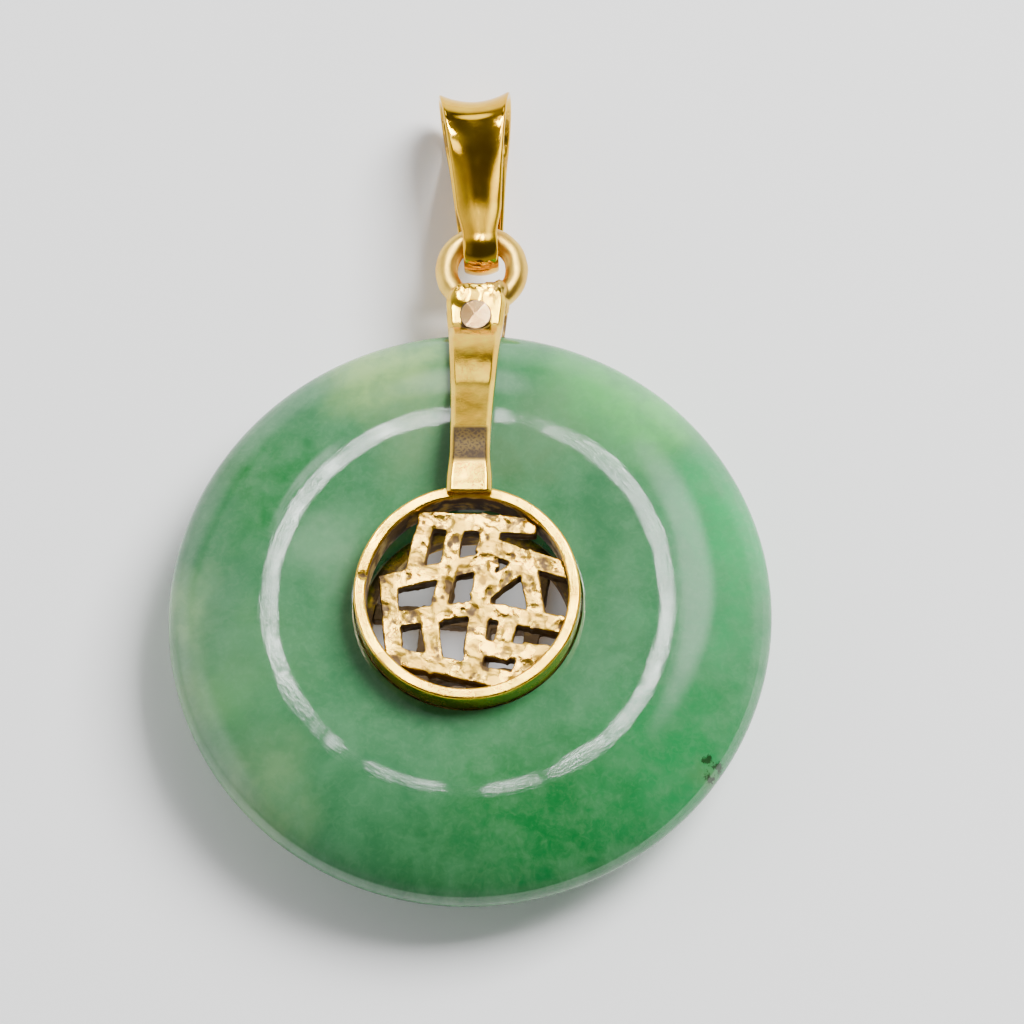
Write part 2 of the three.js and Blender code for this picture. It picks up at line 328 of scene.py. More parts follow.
jade = {
    "holeRadius": 5.66,
    "holeEdgeHeight": 2.38,
    "crestRadius": 9.9,
    "crestHeight": 2.55,
    "holeCorner": 0.06,  # rounding of the hole's edge
    "dishPower": 1.3,  # how the dish rises from hole to crest
    "crestFall": 0.56,  # how sharply the slope leaves the crest
    "rimPower": 2.2,  # how it rounds into the rim
    "crestSharpness": 10,  # larger is sharper
    "waver": 0.01,  # how far the polished faces waver
    "around": 384,
    "midGreen": (48, 112, 68),
    "greyGreen": (66, 126, 82),
    "inclusion": (26, 40, 16),
    "veil": (140, 190, 140),  # a pale haze over all of it
    "veilAmount": 0.07,
    # x, y and reach of each dark crack
    "cracks": [(11.93, -7.75, 0.3), (12.47, -7.98, 0.28), (11.97, -8.55, 0.26)],
    "roughness": 0.05,
    "rubbedRoughness": 0.03,  # more along the crest
    "bumpDepth": 0.004,
    "fineHeight": 0.03,  # share of the bump's depth
    "gritHeight": 7.0,  # the same, along the crest
    "refraction": 1.62,
    "lightInside": 0.3,  # how much light wanders in the stone, and how far in metres
    "lightReach": 0.0011,
}

# Soft patches in the stone, and one painted sheen: x and y of the middle, reach, how much of the patch shows,
# and its colour.
stoneAndSheenPatches = [
    (4.6, -11.6, 9.0, 0.95, (8, 104, 42)),
    (11.0, -7.8, 6.6, 0.85, (18, 126, 64)),
    (12.2, -8.2, 1.3, 0.4, (92, 112, 66)),
    (-2.4, -13.4, 4.8, 0.5, (16, 96, 42)),
    (-10.4, 6.4, 4.6, 0.95, (8, 108, 46)),
    (-12.0, 4.2, 3.6, 0.45, (26, 112, 54)),
    (-11.4, 6.4, 2.8, 0.5, (4, 104, 36)),
    (8.6, 11.4, 6.2, 0.75, (98, 184, 98)),
    (4.6, 13.2, 3.2, 0.5, (86, 168, 88)),
    (12.8, 4.4, 5.4, 0.75, (26, 158, 86)),
    (12.4, -1.4, 4.0, 0.5, (34, 150, 84)),
    (-4.2, 12.9, 4.4, 0.9, (146, 184, 108)),
    (-14.2, 0.8, 3.4, 0.75, (134, 176, 120)),
    (-14.8, -4.0, 3.6, 0.7, (112, 154, 94)),
    (-10.6, -10.4, 4.4, 0.6, (128, 170, 116)),
    (-12.2, -4.6, 5.0, 0.6, (92, 156, 96)),
    (0.5, 8.0, 2.6, 0.6, (88, 124, 84)),
    (2.7, 7.4, 2.2, 0.45, (74, 110, 66)),
    # A painted sheen: a pale halo of reflected light just inside the left crest highlight, not a colour of the
    # stone.
    (-6.7, 2.6, 3.2, 0.28, (158, 196, 158)),
    (-3.6, 7.8, 3.0, 0.5, (98, 138, 90)),
    (3.4, 9.6, 4.0, 0.5, (104, 140, 98)),
    (-2.8, 10.2, 3.6, 0.5, (124, 156, 110)),
    (-10.4, -3.0, 3.0, 0.35, (84, 132, 86)),
]


def stoneHeight(radius):
    # A dish that rises as a power of the way from hole to crest, and a slope that falls as the root of one
    # less a mix of the way from crest to rim and a power of it; the lower of the two, rounded where they meet.
    way = np.maximum(0, (radius - jade["holeRadius"]) / (jade["crestRadius"] - jade["holeRadius"]))
    dish = jade["holeEdgeHeight"] + (jade["crestHeight"] - jade["holeEdgeHeight"]) * way ** jade["dishPower"]
    share = np.clip((radius - jade["crestRadius"]) / (discRadius - jade["crestRadius"]), -1, 1)
    fall = jade["crestFall"] * share + (1 - jade["crestFall"]) * np.maximum(share, 0) ** jade["rimPower"]
    slope = jade["crestHeight"] * np.sqrt(np.maximum(0, 1 - fall))
    k = jade["crestSharpness"]
    return -np.logaddexp(-k * dish, -k * slope) / k


def makeJadeDisc():
    # The profile from the hole's corner over dish and crest to the rim, mirrored behind and turned about the
    # axis; the polished faces sink by a slow ripple that fades at the hole and the rim.
    edge = jade["holeCorner"]
    corner = np.linspace(0, math.pi / 2, 7)
    start = jade["holeRadius"] + edge
    cornerRadii = start - edge * np.cos(corner)
    cornerHeights = jade["holeEdgeHeight"] - edge + edge * np.sin(corner)
    dish = np.linspace(start, jade["crestRadius"] - 0.6, 22)[1:]
    crest = np.linspace(jade["crestRadius"] - 0.6, jade["crestRadius"] + 0.7, 27)[1:]
    share = np.sin(np.linspace(0, math.pi / 2, 48)[1:])
    slope = crest[-1] + (discRadius - crest[-1]) * share
    radii = np.concatenate([cornerRadii, dish, crest, slope])
    heights = np.concatenate([cornerHeights, stoneHeight(np.concatenate([dish, crest, slope]))])
    heights[-1] = 0
    radii = np.concatenate([radii, radii[-2::-1]])
    heights = np.concatenate([heights, -heights[-2::-1]])
    points = turnedPoints(radii, heights, jade["around"])
    spoke = np.hypot(points[:, 0], points[:, 1])
    away = smoothStep(spoke, jade["holeRadius"] + 0.2, jade["holeRadius"] + 1.5)
    away *= smoothStep(spoke, discRadius, discRadius - 1.2)
    points[:, 2] -= np.sign(points[:, 2]) * away * jade["waver"] * (1 + ripple(points, 4.5, 11)) / 2
    faces = gridFaces(len(radii), jade["around"], joinRows=True)
    makePiece("jadeDisc", points, faces, jadeMaterial(), "pendant", ["jade_disc"])


def jadeMaterial():
    material, shader, surface, place = newMaterial("polishedJade")
    flat = shader.vector("MULTIPLY", place, (1, 1, 0.35))
    drift = shader.noise(flat, 0.2, 4.0, 0.6, part="Color")
    centred = shader.vector("SUBTRACT", drift, (0.5, 0.5, 0.5))
    pushed = shader.vector("MULTIPLY", centred, (7.0, 7.0, 0.0))
    wandering = shader.vector("ADD", flat, pushed)
    level = shader.vector("MULTIPLY", wandering, (1, 1, 0))
    clouds = shader.stretch(shader.noise(flat, 0.42, 5.0, 0.6, 0.3), 0.34, 0.68)
    wisps = shader.stretch(shader.noise(flat, 0.8, 5.0, 0.58, 0.4), 0.3, 0.74)
    colour = shader.blend(clouds, screenColour(*jade["midGreen"]), screenColour(*jade["greyGreen"]))
    for x, y, reach, strength, tone in stoneAndSheenPatches:
        mask = shader.group(groups["patch"], place=level, centre=(x, y, 0), reach=reach, soft=0.9)["mask"]
        uneven = shader.times(mask, shader.stretch(wisps, 0.0, 1.0, strength, strength * 0.6))
        colour = shader.blend(uneven, colour, screenColour(*tone))
    grain = shader.stretch(shader.noise(flat, 2.6, 4.0, 0.62, 0.8), 0.4, 0.75)
    haze = shader.times(shader.plus(wisps, grain), jade["veilAmount"])
    colour = shader.blend(haze, colour, screenColour(*jade["veil"]))
    marks = shader.times(inclusionMask(shader, place), 0.85)
    colour = shader.blend(marks, colour, screenColour(*jade["inclusion"]))
    shader.put(surface.inputs["Base Color"], colour)
    scratches = shader.group(groups["scratches"], place=place, fineness=2.2, amount=0.3, turn=0.7)["mask"]
    fine = shader.noise(place, 14.0, 2.0)
    across = shader.vector("MULTIPLY", place, (1, 1, 0))
    spoke = shader.add("VectorMath", {0: across}, operation="LENGTH").outputs["Value"]
    offCrest = shader.math("ABSOLUTE", shader.math("SUBTRACT", spoke, jade["crestRadius"]))
    rubbed = shader.stretch(offCrest, 0.75, 0.1)
    parts = shader.add("SeparateXYZ", {0: place}).outputs
    turn = shader.math("ARCTAN2", parts["Y"], parts["X"])
    spokeAndTurn = shader.add("CombineXYZ", {0: spoke, 1: turn}).outputs[0]
    finer = shader.vector("MULTIPLY", spokeAndTurn, (6.0, 14.0, 0))
    grit = shader.noise(finer, 1.0, 4.0, 0.65)
    broken = shader.stretch(shader.noise(place, 0.55, 2.0), 0.35, 0.62, 0.35, 1.0)
    grit = shader.times(shader.times(rubbed, broken), grit)
    gloss = shader.plus(shader.stretch(fine, 0.3, 0.8, 0.0, 0.02), jade["roughness"])
    gloss = shader.plus(gloss, shader.times(rubbed, jade["rubbedRoughness"]))
    shader.put(surface.inputs["Roughness"], shader.plus(gloss, shader.times(scratches, 0.1)))
    shader.fill(surface, {
        "IOR": jade["refraction"],
        "Subsurface Weight": jade["lightInside"],
        "Subsurface Radius": (0.7, 1.0, 0.7),
        "Subsurface Scale": jade["lightReach"],
    })
    fine = shader.times(fine, jade["fineHeight"])
    height = shader.plus(fine, shader.times(grit, jade["gritHeight"]))
    bump(shader, surface, height, jade["bumpDepth"])
    return material


def inclusionMask(shader, place):
    # Three small dark cracks near the rim, low on the right, with ragged edges.
    ragged = shader.noise(place, 2.6, 4.0, 0.7, part="Color")
    ragged = shader.vector("SUBTRACT", ragged, (0.5, 0.5, 0.5))
    ragged = shader.vector("MULTIPLY", ragged, (1.1, 1.1, 0))
    level = shader.vector("MULTIPLY", place, (1, 1, 0))
    moved = shader.vector("ADD", level, ragged)
    marks = 0.0
    for x, y, reach in jade["cracks"]:
        crack = shader.group(groups["patch"], place=moved, centre=(x, y, 0), reach=reach, soft=0.5)["mask"]
        marks = shader.math("MAXIMUM", crack, marks)
    return marks


# Gold

gold = {
    "yellow": (252, 208, 62),
    "paleYellow": (246, 204, 88),
    "castYellow": (236, 190, 70),
    "deepYellow": (250, 200, 46),
    "rose": (244, 200, 138),
    "brown": (104, 78, 42),
    "darkBrown": (58, 43, 25),
}
deeperShares = (0.84, 0.74, 0.6)  # of red, green and blue, where the gold's tone is deeper


def goldMaterial(
    name, colour, roughness, grainDepth, scratchAmount, cloudSize, dirtAndShade="darkBrown", spread=0.12
):
    # Worn gold: its dirt and painted shade sit where the piece's own mask says, and break up at the edges.
    material, shader, surface, place = newMaterial(name)
    wear = shader.group(groups["wear"], place=place, size=cloudSize)
    scratched = shader.group(groups["scratches"], place=place, fineness=3.2, amount=scratchAmount, turn=0.3)
    scratches = scratched["mask"]
    base = screenColour(*gold[colour])
    deeper = tuple(channel * share for channel, share in zip(base, deeperShares)) + (1.0,)
    tone = shader.blend(wear["clouds"], base, deeper)
    mask = shader.add("Attribute", attribute_name="dirtAndShade").outputs["Fac"]
    breaking = shader.times(shader.math("SUBTRACT", wear["clouds"], 0.5), 0.5)
    broken = shader.plus(mask, breaking)
    # The mask paints real dirt and painted shade alike into the colour, and dulls the metal there.
    dirtyAndShaded = shader.times(shader.stretch(broken, 0.25, 0.75), shader.stretch(mask, 0.0, 0.2))
    tone = shader.blend(dirtyAndShaded, tone, screenColour(*gold[dirtAndShade]))
    shader.put(surface.inputs["Base Color"], tone)
    shader.put(surface.inputs["Metallic"], shader.stretch(dirtyAndShaded, 0.0, 1.0, 1.0, 0.25))
    gloss = shader.plus(shader.stretch(wear["drift"], 0.0, 1.0, 0.0, spread), roughness)
    gloss = shader.plus(gloss, shader.times(dirtyAndShaded, 0.3))
    shader.put(surface.inputs["Roughness"], shader.plus(gloss, shader.times(scratches, 0.15)))
    height = shader.math("SUBTRACT", wear["grain"], shader.times(scratches, 0.8))
    bump(shader, surface, height, grainDepth)
    return material


# Collars

collar = {
    "wall": 0.6,
    "rounding": 0.12,
    "waver": 0.018,
    "seamAngle": 171,  # degrees round from +X
    "seamWidth": 0.05,
    "seamDepth": 0.05,
    "pitRadius": 0.16,
    "pitDepth": 0.12,
    "pitInset": 0.22,  # from the bore
    "around": 360,
}


def makeCollar(name, node, side, material):
    # A rounded rectangle turned about the axis; its rim wavers, and a seam and a pit are pressed into it.
    low, high = boxInMillimetres(node)
    outer = (high[0] - low[0]) / 2
    bottom, top = sorted((abs(low[2]), abs(high[2])))
    inner = outer - collar["wall"]
    r = collar["rounding"]
    turn = np.linspace(0, math.pi / 2, 7)
    radii = np.concatenate([
        np.full(8, outer),
        outer - r + r * np.cos(turn),
        np.linspace(outer - r, inner + r, 8)[1:-1],
        inner + r - r * np.sin(turn),
        np.full(8, inner),
    ])
    heights = np.concatenate([
        np.linspace(bottom, top - r, 9)[:-1],
        top - r + r * np.sin(turn),
        np.full(6, top),
        top - r + r * np.cos(turn),
        np.linspace(top - r, bottom, 9)[1:],
    ])
    points = turnedPoints(radii, heights, collar["around"])
    spoke = np.hypot(points[:, 0], points[:, 1])
    rim = smoothStep(points[:, 2], bottom + 0.2, top)
    points[:, :2] *= (1 - rim * collar["waver"] * (1 + ripple(points, 3.0, 5)) / 2 / spoke)[:, None]
    points[:, 2] -= rim * collar["waver"] * np.maximum(0, 1 + ripple(points, 2.2, 6)) / 2
    seam = math.radians(collar["seamAngle"])
    way = np.array([math.cos(seam), math.sin(seam)])
    across = points[:, 0] * -way[1] + points[:, 1] * way[0]
    ahead = points[:, :2] @ way > 0
    groove = bell(across, collar["seamWidth"]) * ahead
    pitCentre = np.append(way * (inner + collar["pitInset"]), top)
    pit = bell(np.linalg.norm(points - pitCentre, axis=1), collar["pitRadius"])
    points[:, 2] -= rim * (collar["seamDepth"] * groove + collar["pitDepth"] * pit)
    # Painted shade down inside the bore and round the root where the collar stands on the stone; dirt in the
    # seam's groove and the pit.
    boreShade = smoothStep(spoke, inner + 0.1, inner + 0.02)
    boreShade *= smoothStep(points[:, 2], top - 0.02, top - 0.3)
    root = smoothStep(spoke, outer - 0.1, outer - 0.02)
    root *= smoothStep(points[:, 2], bottom + 0.75, bottom + 0.35)
    dirtAndShade = np.clip(np.maximum(boreShade * 0.7, root * 0.6) + 0.5 * groove * rim + 0.9 * pit, 0, 1)
    points[:, 2] *= side
    faces = gridFaces(len(radii), collar["around"], joinRows=True)
    makePiece(name, points, faces, material, "pendant", [node], {"dirtAndShade": dirtAndShade})


# Medallions

medallion = {
    "voxel": 0.06,
    "smoothing": 4,
    "roughCast": 0.036,
    "pits": 40,
    "pitDepth": 0.09,
    "pitReach": (0.06, 0.24),
    "soiledHollows": 0.5,
    "stains": 0.28,
}


def makeMedallion(name, node, side, material, seed):
    # The pierced plate with its edges softened, its faces pushed along their normals by three sizes of
    # ripple, and cast pits pressed in, each a bell curve of the way from its middle.
    source = frame["nodes"][node].data.copy()
    source.transform(Matrix.Translation(-Vector(discMiddle)))
    source.transform(Matrix.Scale(1000, 4))
    points, normals, faces = voxelSkin([source], medallion["voxel"], medallion["smoothing"])
    rng = np.random.default_rng(seed)
    facing = smoothStep(normals[:, 2] * side, 0.55, 0.95)
    rough = 0.7 * ripple(points, 1.3, seed) + 0.35 * ripple(points, 0.55, seed + 1)
    rough = rough + 0.1 * ripple(points, 0.22, seed + 2)
    outer = np.flatnonzero(facing > 0.5)
    centres = points[rng.choice(outer, medallion["pits"])]
    reach = rng.uniform(*medallion["pitReach"], medallion["pits"])
    away = np.linalg.norm(points[:, None, :2] - centres[None, :, :2], axis=2)
    pits = (bell(away, reach) * rng.uniform(0.4, 1, medallion["pits"])).sum(1)
    pits = np.clip(pits, 0, 1) * facing
    points = points + normals * (medallion["roughCast"] * rough - medallion["pitDepth"] * pits)[:, None]
    limit = boxInMillimetres(node)
    points = np.clip(points, limit[0] - 0.02, limit[1] + 0.02)
    stain = smoothStep(ripple(points, 2.0, seed + 3), 0.2, 1.6)
    hollow = smoothStep(-rough, 0.5, 1.5) * medallion["soiledHollows"] + medallion["stains"] * stain
    # Painted shade on the strokes' side walls and on faces turned away; dirt in the pits, the hollows of the
    # rough cast and the stains.
    dirtAndShade = np.clip((1 - facing) * 0.9 + facing * (pits * 0.9 + hollow), 0, 1)
    makePiece(name, points, faces, material, "pendant", [node], {"dirtAndShade": dirtAndShade})


# Straps

strap = {
    "thickness": 0.5,
    "bevel": 0.22,
    "rounding": 0.06,
    "lift": 0.1,  # off the stone's slope
    "waist": 2.0,
    "foot": 2.25,
    "frontTab": 3.0,
    "backTab": 3.1,
    "tabRound": 1.0,
    "bendSmoothing": 0.6,
    "stations": 420,
    "dents": 0.008,
    "tabRough": 0.009,
    "footDip": 0.02,
    "lobe": (-0.6, 0.66, 0.62, 0.1),  # x, way in from the tab's end, reach and height
    "creaseDepth": 0.025,
    "wornIn": (6.5, 6.9),  # where the filed patch begins and is full, up the strap
    "wornOut": (8.8, 8.5),  # where it ends and is still full
    "hatchTurns": (0.9, -0.75),
    "hatchScale": 1500.0,
}


def strapRoute(footY, footHeight, tabHeight, tabEnd):
    # The underside: level off the collar, bent over the crest, along the stone's slope and level along the
    # tab; straight between these points, then each point replaced by a weighted mean of its neighbours.
    bendY = (jade["holeRadius"] + jade["crestRadius"]) / 2 + 0.07
    slopeStart = jade["crestRadius"] + 0.28 * (discRadius - jade["crestRadius"])
    slopeY = np.linspace(slopeStart, discRadius - 0.7, 9)
    slopeHeight = stoneHeight(slopeY) + strap["lift"]
    drop = footHeight - slopeHeight[0]
    y = np.concatenate([
        [footY, bendY - 0.4, bendY, bendY + 0.4],
        slopeY,
        [discRadius - 0.03, discRadius + 0.35, tabEnd],
    ])
    height = np.concatenate([
        [footHeight, footHeight, footHeight - 0.03 * drop, footHeight - 0.11 * drop],
        slopeHeight,
        [tabHeight + 0.03, tabHeight, tabHeight],
    ])
    length = np.concatenate([[0], np.cumsum(np.hypot(np.diff(y), np.diff(height)))])
    at = np.linspace(0, length[-1], strap["stations"])
    reach = int(strap["bendSmoothing"] / (at[1] - at[0]))
    kernel = np.hanning(2 * reach + 3)[1:-1]
    kernel /= kernel.sum()

    def soften(values):
        ahead = 2 * values[0] - values[reach:0:-1]
        behind = 2 * values[-1] - values[-2 : -reach - 2 : -1]
        return np.convolve(np.concatenate([ahead, values, behind]), kernel, "valid")

    return soften(np.interp(at, length, y)), soften(np.interp(at, length, height))


def roundedSection(corners, rounding, steps, flatSteps):
    # Each corner is (share of the half width, offset in mm, height). Each is rounded as a parabola between a
    # point before it and one after it, with points along the flats between.
    corners = [np.array(corner, dtype=float) for corner in corners]
    rows = []
    for i, corner in enumerate(corners):
        before, after = corners[i - 1], corners[(i + 1) % len(corners)]

        def towards(other):
            # A point on the side towards the other corner, the rounding away from this one.
            width = (other[0] - corner[0]) + (other[1] - corner[1])
            height = other[2] - corner[2]
            length = math.hypot(width, height)
            return corner + np.array([0.0, rounding * width / length, rounding * height / length])

        start, end = towards(before), towards(after)
        t = np.linspace(0, 1, steps)[:, None]
        rows.append((1 - t) ** 2 * start + 2 * t * (1 - t) * corner + t**2 * end)
    section = []
    for i, row in enumerate(rows):
        section.append(row)
        following = rows[(i + 1) % len(rows)][0]
        count = flatSteps[i]
        if count:
            t = np.linspace(0, 1, count + 2)[1:-1, None]
            section.append((1 - t) * row[-1] + t * following)
    return np.concatenate(section)


def makeStrap(name, node, side, tabWidth, footY, footHeight, material, isFront):
    # A bevelled section carried along the route: across it a share of the half width, and out of it along the
    # route's normal. Dents are pressed into the top, and on the front a lobe, a crease and a dip.
    low, high = boxInMillimetres(node)
    ringLow, ringHigh = boxInMillimetres("hanging_ring")
    tabHeight = (ringHigh[2] - ringLow[2]) / 2 + 0.03
    tabEnd = high[1]
    y, height = strapRoute(footY, footHeight, tabHeight, tabEnd)
    slopeY, slopeHeight = np.gradient(y), np.gradient(height)
    length = np.hypot(slopeY, slopeHeight)
    out = np.stack([-slopeHeight / length, slopeY / length], -1)
    waistY = footY + (jade["crestRadius"] - jade["holeRadius"] + 0.61) * 0.45
    tab = np.clip((y - waistY) / (tabEnd - strap["tabRound"] - waistY), 0, 1) ** 1.8
    foot = 1 - smoothStep(y, footY + 0.5, waistY)
    width = strap["waist"] + (tabWidth - strap["waist"]) * tab + (strap["foot"] - strap["waist"]) * foot
    toEnd = np.clip((y - (tabEnd - strap["tabRound"])) / strap["tabRound"], 0, 1)
    half = width / 2 * (0.5 + 0.5 * np.sqrt(1 - toEnd**2))
    t, b = strap["thickness"], strap["bevel"]
    corners = [(-1, 0, 0), (1, 0, 0), (1, 0, t - b), (1, -b, t), (-1, b, t), (-1, 0, t - b)]
    section = roundedSection(corners, strap["rounding"], 4, [6, 3, 5, 26, 5, 3])
    ends = np.minimum(smoothStep(y, footY - 0.02, footY + 0.12), smoothStep(y, tabEnd + 0.01, tabEnd - 0.1))
    inset = 0.9 + 0.1 * np.sqrt(ends)
    x = section[None, :, 0] * half[:, None] + section[None, :, 1]
    up = section[None, :, 2] * np.ones_like(half)[:, None]
    x = x * inset[:, None]
    up = t / 2 + (up - t / 2) * (0.8 + 0.2 * np.sqrt(ends))[:, None]
    points = np.stack([x, y[:, None] + up * out[:, :1], height[:, None] + up * out[:, 1:]], -1).reshape(-1, 3)
    top = smoothStep(up.ravel(), t * 0.7, t)
    dents = ripple(points, 2.4, 21) * 0.8 + ripple(points, 0.9, 22) * 0.2
    points[:, 2] -= strap["dents"] * top * np.maximum(0, 1 + dents)
    footArea = smoothStep(points[:, 1], footY + 0.7, footY + 0.1)
    endArea = smoothStep(points[:, 1], discRadius + 1.6, tabEnd)
    # Painted shade on the strap's sides below the bevel; dirt in the deepest dents.
    dirtAndShade = 0.2 * smoothStep(dents, 0.9, 2.0) * top + 0.55 * (1 - smoothStep(up.ravel(), 0.0, t - b))
    if isFront:
        points[:, 2] += strap["tabRough"] * endArea * ripple(points, 0.4, 23) * top
        points[:, 2] -= strap["footDip"] * footArea * top
        lobeX, lobeIn, lobeReach, lobeHeight = strap["lobe"]
        fromLobe = (points[:, 0] - lobeX) ** 2 + (points[:, 1] - tabEnd + lobeIn) ** 2
        lobe = bell(fromLobe, lobeReach**2)
        points[:, 2] += lobeHeight * lobe * top
        rivetLow, rivetHigh = boxInMillimetres("rivet")
        fromRivet = points - (rivetLow + rivetHigh) / 2
        # A painted shadow: a dark crescent on the strap just below the rivet head.
        around = bell(np.hypot(fromRivet[:, 0], fromRivet[:, 1]) - 0.86, 0.07)
        shadowUnderRivet = around * smoothStep(-fromRivet[:, 1], 0.1, 0.6) * top
        crease = bell(points[:, 1] - discRadius - 0.06, 0.05)
        crease *= smoothStep(points[:, 0], 1.1, -0.3)
        points[:, 2] -= strap["creaseDepth"] * crease * top
        grain = smoothStep(ripple(points, 0.5, 24), -0.4, 1.2)
        # Painted shade along the crease, dirt in the tab's grain, and the painted shadow under the rivet head.
        dirtAndShade = dirtAndShade + 0.5 * crease + 0.35 * endArea * (1 - lobe) * grain * top + 0.9 * shadowUnderRivet
    worn = smoothStep(points[:, 1], *strap["wornIn"]) * smoothStep(points[:, 1], *strap["wornOut"]) * top
    points[:, 2] *= side
    faces = tubeFaces(len(y), len(section))
    masks = {"dirtAndShade": np.clip(dirtAndShade, 0, 1), "worn": worn * isFront}
    makePiece(name, points, faces, material, "pendant", [node], masks)


def strapMaterial():
    # Worn gold, darker and cross-hatched by a file where the strap bends.
    material = goldMaterial("strapGold", "yellow", 0.11, 0.003, 0.5, 1.4, dirtAndShade="brown", spread=0.08)
    shader, surface = reopen(material)
    tone = surface.inputs["Base Color"].links[0].from_socket
    worn = shader.add("Attribute", attribute_name="worn").outputs["Fac"]
    coordinates = shader.add("TexCoord").outputs["Object"]
    lines = []
    for angle in strap["hatchTurns"]:
        turned = shader.add("VectorRotate", {"Vector": coordinates, "Angle": angle}).outputs[0]
        inputs = {"Vector": turned, "Scale": strap["hatchScale"], "Distortion": 7.0}
        wave = shader.add("TexWave", {**inputs, "Detail": 3.0, "Detail Scale": 2.5})
        lines.append(wave.outputs["Fac"])
    uneven = shader.stretch(shader.noise(coordinates, strap["hatchScale"], 3.0, 0.6), 0.3, 0.7)
    hatch = shader.times(shader.math("MAXIMUM", lines[0], lines[1]), uneven)
    mask = shader.times(worn, shader.stretch(hatch, 0.1, 0.8, 1.0, 0.92))
    tone = shader.blend(mask, tone, screenColour(*gold["darkBrown"]))
    shader.put(surface.inputs["Base Color"], tone)
    polished = surface.inputs["Metallic"].links[0].from_socket
    dull = shader.math("SUBTRACT", 1.0, shader.times(mask, 0.5))
    shader.put(surface.inputs["Metallic"], shader.times(polished, dull))
    gloss = surface.inputs["Roughness"].links[0].from_socket
    shader.put(surface.inputs["Roughness"], shader.plus(gloss, shader.times(worn, 0.3)))
    return material


# Rivet

rivet = {
    "shank": 0.42,
    "head": 0.8,
    "headHeight": 0.35,
    "rounding": 0.1,
    "facets": 4,
    "facetTilts": (0.1, 0.22),
    "around": 96,
}


def makeRivet(material):
    # A spool turned about its axis; planes at random tilts cut the front head, as hammer blows do.
    low, high = boxInMillimetres("rivet")
    middle = (low + high) / 2
    top = high[2]
    under = top - rivet["headHeight"]
    turn = np.linspace(0, math.pi / 2, 6)
    r = rivet["rounding"]
    radii = np.concatenate([
        np.linspace(0.02, rivet["head"] - r, 26)[:-1],
        rivet["head"] - r + r * np.sin(turn),
        np.full(4, rivet["head"]),
        np.linspace(rivet["head"] - 0.04, rivet["shank"], 5),
    ])
    heights = np.concatenate([
        np.full(25, top),
        top - r + r * np.cos(turn),
        np.linspace(top - r, under + 0.04, 5)[1:],
        np.full(5, under),
    ])
    radii = np.concatenate([radii, radii[::-1]])
    heights = np.concatenate([heights, -heights[::-1]])
    points = turnedPoints(radii, heights, rivet["around"])
    rng = np.random.default_rng(8)
    turns = fullTurn(rivet["facets"]) + rng.uniform(-0.4, 0.4, rivet["facets"])
    steepness = rng.uniform(*rivet["facetTilts"], (rivet["facets"], 1))
    tilts = np.stack([np.cos(turns), np.sin(turns)], -1) * steepness
    depths = rng.uniform(0.0, 0.02, rivet["facets"])
    cut = (top - depths[None] + points[:, :2] @ tilts.T).min(1)
    isHead = points[:, 2] > under + 0.03
    cutHeight = np.minimum(points[:, 2], np.maximum(cut, under + 0.12))
    points[:, 2] = np.where(isHead, cutHeight, points[:, 2])
    swell = 0.03 * np.sin(3 * np.arctan2(points[:, 1], points[:, 0]) + 1)
    swell = 1 + swell * (points[:, 2] > under - 0.02)
    points[:, :2] *= np.minimum(swell, 1)[:, None]
    # Painted shade on the head's side wall, below its top edge.
    wall = smoothStep(np.hypot(points[:, 0], points[:, 1]), rivet["head"] - 0.1, rivet["head"] - 0.02)
    dirtAndShade = wall * smoothStep(np.abs(points[:, 2]), top - 0.02, top - 0.12) * 0.9
    points[:, :2] += middle[:2]
    faces = tubeFaces(len(radii), rivet["around"])
    makePiece("rivetHead", points, faces, material, "pendant", ["rivet"], {"dirtAndShade": dirtAndShade})


# Hanging ring, with the solder that holds it

ring = {
    "voxel": 0.06,
    "smoothing": 4,
    "rough": 0.008,
    "solderRough": 0.03,
    "around": 128,
    "wireAround": 40,
}

# Lumps of solder between the straps' ends: x, y, z and the three half widths.
solderLumps = [
    (-0.55, 17.1, 0.0, 0.75, 0.45, 0.5),
    (0.1, 16.9, 0.0, 1.2, 0.62, 0.52),
    (1.25, 16.75, 0.1, 0.42, 0.7, 0.5),
    (0.75, 17.45, 0.55, 0.55, 0.3, 0.45),
    (1.15, 17.3, 0.75, 0.36, 0.5, 0.42),
    (0.0, 16.2, 0.0, 1.05, 0.7, 0.54),
]


